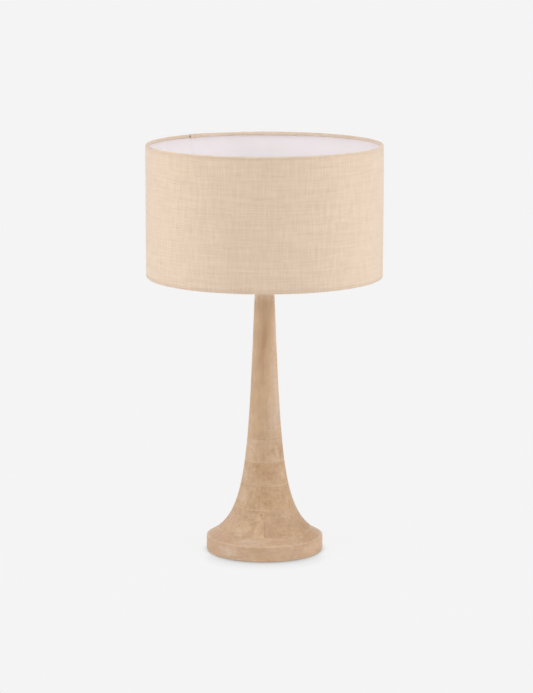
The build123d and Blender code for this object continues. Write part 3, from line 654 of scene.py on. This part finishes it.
def film(name, colour, roughness):
    """Smooth stiff film with a faint cloudiness and a fine tooth."""
    finish = Finish(name, {"Roughness": roughness, "Specular IOR Level": 0.4})
    here = finish.place()
    cloud = finish.ramp(finish.noise(here, FILM["cloud"])[0], *NOISE_SPREAD, *FILM["levels"])
    finish.set("Base Color", finish.scaled(colour, cloud))
    finish.bump(finish.noise(here, FILM["tooth"])[0], FILM["bump"])
    return finish.material


def metal(name, colour, roughness):
    """Drawn or turned metal: fine lines round the axis and a slight tarnish."""
    finish = Finish(name, {"Metallic": 1.0})
    here = finish.place()
    tarnish = finish.drift(here, METAL["tarnish"], FINE_NOISE, METAL["spread"])
    share = finish.times(tarnish, METAL["share"])
    finish.set("Base Color", finish.mix(share, colour, dimmed(colour, METAL["dull"])))
    finish.set("Roughness", finish.ramp(tarnish, 0.0, 1.0, roughness, roughness + METAL_ROUGHER))
    finish.bump(finish.noise_line(finish.split(here)["Z"], METAL["lines"]), METAL_BUMP)
    return finish.material


def moulded(name, colour, roughness, speck=0.92):
    """Moulded or enamelled surface with a faint orange peel and slight colour drift."""
    finish = Finish(name, {"Specular IOR Level": 0.5})
    here = finish.place()
    drift = finish.drift(here, MOULDED["drift"], FINE_NOISE)
    smoother, rougher = MOULDED_ROUGHNESS
    finish.set("Base Color", finish.mix(drift, dimmed(colour, speck), colour))
    finish.set("Roughness", finish.ramp(drift, 0.0, 1.0, roughness + smoother, roughness + rougher))
    finish.bump(finish.noise(here, MOULDED["peel"])[0], MOULDED["bump"])
    return finish.material


def felted(name, colour):
    """Pressed wool felt or fibre: matted strands of slightly different tones."""
    finish = Finish(name, {"Roughness": 0.95, "Specular IOR Level": 0.1, "Sheen Weight": 0.25})
    here = finish.place()
    strands = finish.stretched(here, FELTED["strands"], FINE_NOISE, NOISE_SPREAD)
    clumps = finish.noise(here, FELTED["clumps"], FINE_NOISE)[0]
    finish.set("Base Color", finish.mix(strands, dimmed(colour, FELTED["dark"]), colour))
    finish.bump(finish.plus(strands, clumps), FELTED["bump"])
    return finish.material


def opal(name, colour):
    """Thin glass with a soft white coating inside."""
    finish = Finish(name, {"Roughness": 0.22, "Coat Weight": 0.5, "Coat Roughness": 0.04, "IOR": 1.5})
    here = finish.place()
    coating = finish.drift(here, OPAL["coating"], FINE_NOISE)
    finish.set("Base Color", finish.mix(coating, dimmed(colour, OPAL["thin"]), colour))
    finish.bump(finish.noise(here, OPAL["ripple"], SMOOTH_NOISE)[0], OPAL["bump"])
    return finish.material


def dress(node, material):
    """Gives a CAD node its material."""
    mesh = nodes[node].data
    mesh.materials.clear()
    mesh.materials.append(material)


def piece(name, mesh, material, body, stands_for=()):
    """A new piece that rides on a body, with the finish it is given, and hides the CAD nodes it stands for.
    """
    made = bpy.data.objects.new(name, mesh)
    bpy.context.scene.collection.objects.link(made)
    mesh.materials.clear()
    mesh.materials.append(material)
    mesh.polygons.foreach_set("use_smooth", [True] * len(mesh.polygons))
    mesh.set_sharp_from_angle(angle=SHARP_ANGLE)
    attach(made, body)
    if stands_for:
        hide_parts(*stands_for)
    return made


def wobble(along, length, seed):
    """Smooth noise from -1 to 1 with about one swing in each length."""
    return noise.noise(Vector((along / length, seed, SEED_SLOPE * seed)))


def eased(value, low, high):
    """0 below low, 1 above high and a smooth step between them."""
    share = min(max((value - low) / (high - low), 0.0), 1.0)
    return share * share * (3 - 2 * share)


def arc_from(angle, other):
    """Distance round the shade's wall between two angles."""
    return abs((angle - other + pi) % (2 * pi) - pi) * SHADE_RADIUS


def strip_section(face, bottom_tuck):
    """(radius, height, roll) along one face of the cloth's section, from one cut edge to the other."""
    rows = []
    for step in range(ROLL_ROWS):
        angle = (pi + bottom_tuck) * (1 - step / ROLL_ROWS)
        rows.append((ROLL_AXIS + face * cos(angle), BOTTOM_ROLL - face * sin(angle), BOTTOM_ROLL))
    for step in range(WALL_ROWS):
        height = BOTTOM_ROLL + WALL_HEIGHT * eased(step / WALL_ROWS, 0.0, 1.0)
        from_roll = min(height - BOTTOM_ROLL, TOP_ROLL - height)
        deepening = eased(from_roll, 0.0, GROOVE["deepest"])
        ending = eased(from_roll, GROOVE["deepest"], GROOVE["end"])
        groove = GROOVE["depth"] * deepening * (1 - ending)
        rows.append((ROLL_AXIS + face - groove, height, None))
    for step in range(ROLL_ROWS + 1):
        angle = (pi + HEM_TUCK) * step / ROLL_ROWS
        rows.append((ROLL_AXIS + face * cos(angle), TOP_ROLL + face * sin(angle), TOP_ROLL))
    return rows


def lap_offsets(turn):
    """How far the outer and the inner face move out where the strip's two ends lap."""
    lift = eased(turn, 2 * pi - LAP_RISE["laps"] * LAP_ANGLE, 2 * pi)
    under = 1 - eased(turn, LAP_ANGLE, LAP_SINK["laps"] * LAP_ANGLE)
    return LAP_RISE["outer"] * lift - LAP_SINK["outer"] * under, LAP_RISE["inner"] * lift


def uneven(section_point, face, arc, offset, outer):
    """A point of the section moved out by an offset, and on the outer face by waves or lumps too."""
    radius, height, roll = section_point
    if roll is None:
        wave = wobble(arc, WALL_WAVE["length"], WALL_WAVE["seed"] + height / WALL_WAVE["row"])
        return radius + offset + outer * WALL_WAVE["height"] * wave, height
    lumps = sum(lump["share"] * wobble(arc, lump["length"], lump["seed"] + roll) for lump in ROLL_LUMPS)
    swell = 1 + offset / face + outer * lumps
    return ROLL_AXIS + (radius - ROLL_AXIS) * swell, roll + (height - roll) * swell


def strip_points():
    """Points of the cloth, column by column: first the outer face, then the inner one."""
    points = []
    for column in range(STRIP_COLUMNS + 1):
        turn = STRIP_ANGLE * column / STRIP_COLUMNS
        angle = LAP_END - LAP_ANGLE + turn
        from_arm = min(arc_from(angle, arm) for arm in ARM_ANGLES)
        tuck = OPEN_TUCK + (HEM_TUCK - OPEN_TUCK) * eased(from_arm, *ARM_OPENING)
        outer_offset, inner_offset = lap_offsets(turn)
        for face, offset, outer in ((ROLL_RADIUS, outer_offset, 1), (ROLL_RADIUS - FABRIC, inner_offset, 0)):
            for section_point in strip_section(face, tuck):
                radius, height = uneven(section_point, face, angle * SHADE_RADIUS, offset, outer)
                points.append((radius * cos(angle), radius * sin(angle), height))
    return points


def strip_faces(rows):
    """Faces of the cloth as corners (column, side, row): both sides with the cut edges, then the two ends."""
    faces = []
    for column in range(STRIP_COLUMNS):
        beside = column + 1
        for row in range(rows - 1):
            faces.append([(column, 0, row), (beside, 0, row), (beside, 0, row + 1), (column, 0, row + 1)])
            faces.append([(column, 1, row), (column, 1, row + 1), (beside, 1, row + 1), (beside, 1, row)])
        for row in (0, rows - 1):
            edge = [(column, 0, row), (column, 1, row), (beside, 1, row), (beside, 0, row)]
            faces.append(edge if row == 0 else edge[::-1])
    for column in (0, STRIP_COLUMNS):
        for row in range(rows - 1):
            end = [(column, 0, row), (column, 0, row + 1), (column, 1, row + 1), (column, 1, row)]
            faces.append(end if column == 0 else end[::-1])
    return faces


def baked_place(column, side, share, bank):
    """Where a corner of the cloth lies on the baked picture."""
    if side == 0:
        along = (column - bank * BANK_COLUMNS) / BANK_COLUMNS
        return along, OUTER_BANK["start"] + OUTER_BANK["step"] * bank + OUTER_BANK["height"] * share
    return column / STRIP_COLUMNS, INNER_BANK["start"] + INNER_BANK["height"] * share


def fabric_mesh():
    """One strip of cloth with real thickness, rolled over both rings and lapped, and its flat size."""
    section = strip_section(ROLL_RADIUS, HEM_TUCK)
    lengths = [0.0]
    for here, there in zip(section, section[1:]):
        lengths.append(lengths[-1] + hypot(there[0] - here[0], there[1] - here[1]))
    rows = len(section)
    width = lengths[-1]
    length = SHADE_RADIUS * STRIP_ANGLE
    faces = []
    flat = []
    baked = []
    for corners in strip_faces(rows):
        faces.append([(column * 2 + side) * rows + row for column, side, row in corners])
        first_column = min(column for column, side, row in corners)
        bank = min(first_column // BANK_COLUMNS, 1)
        for column, side, row in corners:
            flat.append((length * column / STRIP_COLUMNS, lengths[row]))
            baked.append(baked_place(column, side, lengths[row] / width, bank))
    mesh = bpy.data.meshes.new("shade_cloth")
    mesh.from_pydata(strip_points(), [], faces)
    for name, places in (("weave", flat), ("OFBake", baked)):
        layer = mesh.uv_layers.new(name=name)
        layer.uv.foreach_set("vector", [number for place in places for number in place])
    return mesh, width, length


def revolved(name, section, columns):
    """Mesh of a loop of (radius, height), which may change with the angle, carried round the axis."""
    loops = [section(2 * pi * column / columns) for column in range(columns)]
    points = []
    rings = []
    for row in range(len(loops[0])):
        pole = loops[0][row][0] == 0.0
        rings.append([len(points) + (0 if pole else column) for column in range(columns)])
        for column in range(1 if pole else columns):
            angle = 2 * pi * column / columns
            radius, height = loops[column][row]
            points.append((radius * cos(angle), radius * sin(angle), height))
    faces = []
    for lower, upper in zip(rings, rings[1:] + rings[:1]):
        for column in range(columns):
            beside = (column + 1) % columns
            corners = [lower[column], lower[beside], upper[beside], upper[column]]
            faces.append(list(dict.fromkeys(corners)))
    mesh = bpy.data.meshes.new(name)
    mesh.from_pydata(points, [], [face for face in faces if len(face) > 2])
    return mesh


def thread_cut(thread, angle, height):
    """How deep a right-handed round thread cuts at an angle and a height; it fades out at both ends."""
    from_end = min(height - thread["low"], thread["high"] - height)
    wave = 0.5 - 0.5 * cos(2 * pi * (height / thread["pitch"]) - angle)
    return thread["depth"] * eased(from_end, 0.0, thread["pitch"] / 2) * wave


def threaded_wall(thread, radius, angle):
    """(radius, height) up a wall with a thread cut into it, close enough to show each turn."""
    span = thread["high"] - thread["low"]
    count = round(span / thread["pitch"] * thread["steps"])
    heights = [thread["low"] + span * step / count for step in range(count + 1)]
    return [(radius - thread_cut(thread, angle, height), height) for height in heights]


def drilled(mesh, hole_radius, start, end, height):
    """The mesh with a round hole along +X cut through it."""
    cutter = bpy.data.meshes.new("cutter")
    tool = bmesh.new()
    place = Matrix.Translation(((start + end) / 2, 0.0, height)) @ Matrix.Rotation(pi / 2, 4, "Y")
    bmesh.ops.create_cone(tool, cap_ends=True, segments=SHAFT_HOLE_SIDES, radius1=hole_radius,
                          radius2=hole_radius, depth=end - start, matrix=place)
    tool.to_mesh(cutter)
    tool.free()
    body = bpy.data.objects.new("body_to_drill", mesh)
    bit = bpy.data.objects.new("drill_bit", cutter)
    for made in (body, bit):
        bpy.context.scene.collection.objects.link(made)
    cut = body.modifiers.new("hole", "BOOLEAN")
    cut.object = bit
    result = bpy.data.meshes.new_from_object(body.evaluated_get(bpy.context.evaluated_depsgraph_get()))
    for made in (body, bit):
        bpy.data.objects.remove(made)
    return result


def shell_section(angle):
    """Upper half of the lampholder, with the thread for the ring cut into its top."""
    cone = SHOULDER_RADIUS - SHELL_OUTER
    return [
        (SHELL_OUTER, SHELL_BOTTOM),
        (SHELL_OUTER, SHOULDER_BOTTOM - cone),
        (SHOULDER_RADIUS, SHOULDER_BOTTOM),
        (SHOULDER_RADIUS, SHOULDER_TOP),
        (THREAD_RADIUS, SHOULDER_TOP),
        *threaded_wall(RING_THREAD, THREAD_RADIUS, angle),
        (THREAD_RADIUS - SHELL_SHEET / 2, SHELL_TOP),
        (THREAD_RADIUS - SHELL_SHEET, SHELL_TOP),
        (THREAD_RADIUS - SHELL_SHEET, SHOULDER_BOTTOM),
        (SHELL_INNER, SHOULDER_BOTTOM - cone / 2),
        (SHELL_INNER, SHELL_BOTTOM),
    ]


def cup_section(angle):
    """Thin threaded cup that takes the bulb's cap."""
    wall = threaded_wall(CUP_THREAD, CUP_RADIUS, angle)
    outside = [(radius + CUP_WALL, height) for radius, height in wall]
    return [
        (CUP_OPENING, CUP_FLOOR),
        (CUP_RADIUS + CUP_WALL, CUP_FLOOR),
        *outside,
        (CUP_RADIUS + CUP_WALL, CUP_TOP),
        (CUP_RADIUS, CUP_TOP),
        *reversed(wall),
        (CUP_RADIUS, CUP_FLOOR + CUP_WALL),
        (CUP_OPENING, CUP_FLOOR + CUP_WALL),
    ]


def cap_section(angle):
    """Thin metal cap of the bulb, rolled with its thread."""
    wall = threaded_wall(CAP_THREAD, CAP_RADIUS, angle)
    inside = [(radius - CAP_WALL, height) for radius, height in wall]
    neck = CAP_RADIUS - CAP_SHOULDER
    return [
        (neck, CAP_BOTTOM),
        (CAP_RADIUS - CAP_SHOULDER / 3, CAP_BOTTOM + CAP_SHOULDER / 3),
        *wall,
        (CAP_RADIUS, CAP_TOP - CAP_WALL / 2),
        (CAP_RADIUS - CAP_WALL / 2, CAP_TOP),
        (CAP_RADIUS - CAP_WALL, CAP_TOP),
        *reversed(inside),
        (neck - CAP_WALL, CAP_BOTTOM),
    ]


def felt_section(angle):
    """Pad of pressed felt, slightly uneven underneath, whose soft cut edge spreads under the weight."""
    arc = angle * FELT_RADIUS
    ragged = sum(part["depth"] * wobble(arc, part["length"], part["seed"]) for part in FELT_RAGGED)
    edge = FELT_RADIUS + FELT_SPREAD + ragged
    radii = [edge * step / FELT_RINGS for step in range(FELT_RINGS)]
    under = []
    for radius in radii:
        place = Vector((radius * cos(angle), radius * sin(angle), 0.0)) / FELT_HOLLOW["length"]
        under.append((radius, FELT_HOLLOW["depth"] * (1 + noise.noise(place))))
    return [
        *under,
        (edge - FELT_SOFT, 0.0),
        (edge, FELT_SOFT),
        (edge, FELT_THICKNESS - FELT_SOFT / 2),
        *[(radius, FELT_THICKNESS) for radius in reversed(radii)],
    ]


def weld_mesh():
    """Lumpy beads of weld where the arms meet the hub."""
    beads = bmesh.new()
    for arm in ARM_ANGLES:
        place = Matrix.Rotation(arm, 4, "Z") @ Matrix.Translation((HUB_OUTER, 0.0, ARM_HEIGHT))
        shape = place @ Matrix.Diagonal((*WELD_SIZE, 1.0))
        made = bmesh.ops.create_icosphere(beads, subdivisions=WELD_FINENESS, radius=1.0, matrix=shape)
        centre = place.translation
        for vertex in made["verts"]:
            lump = WELD_LUMPS["share"] * noise.noise(vertex.co / WELD_LUMPS["length"])
            vertex.co = centre + (vertex.co - centre) * (1 + lump)
    mesh = bpy.data.meshes.new("arm_welds")
    beads.to_mesh(mesh)
    beads.free()
    return mesh


def make_camera():
    """Camera of the photograph, level from side to side and tilted down."""
    data = bpy.data.cameras.new("camera")
    data.lens = CAMERA_LENS
    data.clip_end = CAMERA_REACH
    camera = bpy.data.objects.new("camera", data)
    camera.location = CAMERA_PLACE
    camera.rotation_euler = (radians(90 - CAMERA_DOWN), 0.0, 0.0)
    bpy.context.scene.collection.objects.link(camera)
    bpy.context.scene.camera = camera
    bpy.context.scene.view_settings.view_transform = "Standard"


def seen_rays(tree):
    """1 for rays that show the surround itself: straight, mirrored or through glass."""
    path = tree.nodes.new("ShaderNodeLightPath")
    seen = path.outputs["Is Camera Ray"]
    for name in ("Is Glossy Ray", "Is Transmission Ray"):
        either = tree.nodes.new("ShaderNodeMath")
        either.operation = "MAXIMUM"
        tree.links.new(seen, either.inputs[0])
        tree.links.new(path.outputs[name], either.inputs[1])
        seen = either.outputs[0]
    return seen


def make_world():
    """Surround that lights the lamp evenly and shows as the pale background."""
    world = bpy.data.worlds.new("surround")
    bpy.context.scene.world = world
    world.use_nodes = True
    tree = world.node_tree
    light = tree.nodes["Background"]
    light.inputs["Color"].default_value = (AMBIENT, AMBIENT, AMBIENT, 1.0)
    shown = tree.nodes.new("ShaderNodeBackground")
    shown.inputs["Color"].default_value = (BACKGROUND, BACKGROUND, BACKGROUND, 1.0)
    choice = tree.nodes.new("ShaderNodeMixShader")
    tree.links.new(seen_rays(tree), choice.inputs[0])
    tree.links.new(light.outputs[0], choice.inputs[1])
    tree.links.new(shown.outputs[0], choice.inputs[2])
    tree.links.new(choice.outputs[0], tree.nodes["World Output"].inputs["Surface"])


def make_lights():
    """Soft rectangular lights that all aim at the middle of the lamp."""
    for name, light in LIGHTS.items():
        data = bpy.data.lights.new(name, "AREA")
        data.shape = "RECTANGLE"
        data.size, data.size_y = light["size"]
        data.energy = light["watts"]
        made = bpy.data.objects.new(name, data)
        made.location = light["place"]
        aim = Vector(LIGHT_AIM) - made.location
        made.rotation_euler = aim.to_track_quat("-Z", "Y").to_euler()
        bpy.context.scene.collection.objects.link(made)


def make_floor():
    """Pale floor of the background's colour, with the shadow of the foot close round it."""
    turns = [2 * pi * side / FLOOR_SIDES for side in range(FLOOR_SIDES)]
    rim = [(FLOOR_RADIUS * cos(turn), FLOOR_RADIUS * sin(turn), 0.0) for turn in turns]
    mesh = bpy.data.meshes.new("floor")
    mesh.from_pydata(rim, [], [list(range(FLOOR_SIDES))])
    floor = bpy.data.objects.new("floor", mesh)
    bpy.context.scene.collection.objects.link(floor)
    finish = Finish("floor", {"Base Color": (FLOOR_COLOUR,) * 3, "Roughness": 1.0, "Specular IOR Level": 0.0})
    tree = finish.tree
    here = finish.place()
    away = finish.length(here)
    ahead = finish.maths("DIVIDE", finish.maths("ABSOLUTE", finish.split(here)["Y"]), away)
    light = 1.0
    for shadow in SHADOWS.values():
        reach = finish.ramp(ahead, *SHADOW_TURN, *shadow["reach"])
        depth = finish.ramp(ahead, *SHADOW_TURN, *shadow["depth"])
        around = finish.add("AmbientOcclusion", {"Distance": reach}, {"samples": SHADOW_SAMPLES})
        dark = finish.times(finish.minus(1.0, around.outputs["AO"]), depth)
        light = finish.times(finish.minus(1.0, dark), light)
    glow = finish.add("Emission", {"Color": (BACKGROUND, BACKGROUND, BACKGROUND, 1.0), "Strength": light})
    plain = finish.ramp(away, PLAIN_FLOOR["from"], PLAIN_FLOOR["to"], *PLAIN_FLOOR["share"])
    choice = finish.add("MixShader", {0: finish.times(plain, seen_rays(tree))})
    tree.links.new(finish.shader.outputs[0], choice.inputs[1])
    tree.links.new(glow.outputs[0], choice.inputs[2])
    tree.links.new(choice.outputs[0], tree.nodes["Material Output"].inputs["Surface"])
    mesh.materials.append(finish.material)


# Stage
make_camera()
make_world()
make_lights()
make_floor()

# Wooden body
for node, board in BOARDS.items():
    low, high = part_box(node)
    dress(node, wood(node, board, (low.z, high.z)))

# Finishes of the other solids, by slot
finishes = {
    "zinc_steel": metal("zinc_steel", (0.62, 0.62, 0.60), roughness=0.38),
    "bushing_plastic": moulded("bushing_plastic", rgb(188, 158, 128), roughness=0.5),
    "brass": metal("brass", (0.76, 0.58, 0.32), roughness=0.30),
    "fibre_board": felted("fibre_board", rgb(150, 135, 115)),
    "phenolic": moulded("phenolic", rgb(52, 44, 40), roughness=0.36, speck=0.8),
    "contact_brass": metal("contact_brass", (0.74, 0.60, 0.36), roughness=0.24),
    "ring_plastic": moulded("ring_plastic", rgb(226, 221, 213), roughness=0.42),
    "fitter_enamel": moulded("fitter_enamel", rgb(232, 229, 224), roughness=0.3, speck=0.97),
    "lining": film("lining", rgb(245, 239, 242), roughness=0.6),
    "bulb_glass": opal("bulb_glass", rgb(228, 225, 219)),
    "bulb_metal": metal("bulb_metal", (0.70, 0.70, 0.70), roughness=0.28),
    "bulb_insulator": moulded("bulb_insulator", rgb(34, 34, 38), roughness=0.2, speck=0.8),
    "felt": felted("felt", rgb(208, 182, 152)),
}
for node in nodes:
    if slots[node] in finishes:
        dress(node, finishes[slots[node]])

# Cloth of the shade
cloth_mesh, cloth_width, cloth_length = fabric_mesh()
cloth = piece("shade_cloth", cloth_mesh, woven(), "shade", ["shade_fabric"])

# Felt pad
felt_mesh = revolved("felt_sheet", felt_section, FELT_COLUMNS)
felt = piece("felt_sheet", felt_mesh, finishes["felt"], "base", ["felt_pad"])

# Threaded pieces and weld beads
plain_shell = revolved("holder_shell", shell_section, SHELL_COLUMNS)
shell_mesh = drilled(plain_shell, SHAFT_HOLE, 0.0, SHOULDER_RADIUS, SHAFT_HEIGHT)
cup_mesh = revolved("holder_cup", cup_section, SCREW_COLUMNS)
cap_mesh = revolved("lamp_cap", cap_section, SCREW_COLUMNS)
threaded = {
    "holder_shell": {"mesh": shell_mesh, "body": "base", "node": "socket_shell"},
    "holder_cup": {"mesh": cup_mesh, "body": "base", "node": "screw_shell"},
    "lamp_cap": {"mesh": cap_mesh, "body": "bulb", "node": "bulb_cap"},
}
for name, made in threaded.items():
    slot = slots[made["node"]]
    piece(name, made["mesh"], finishes[slot], made["body"], [made["node"]])
piece("arm_welds", weld_mesh(), finishes["fitter_enamel"], "shade")
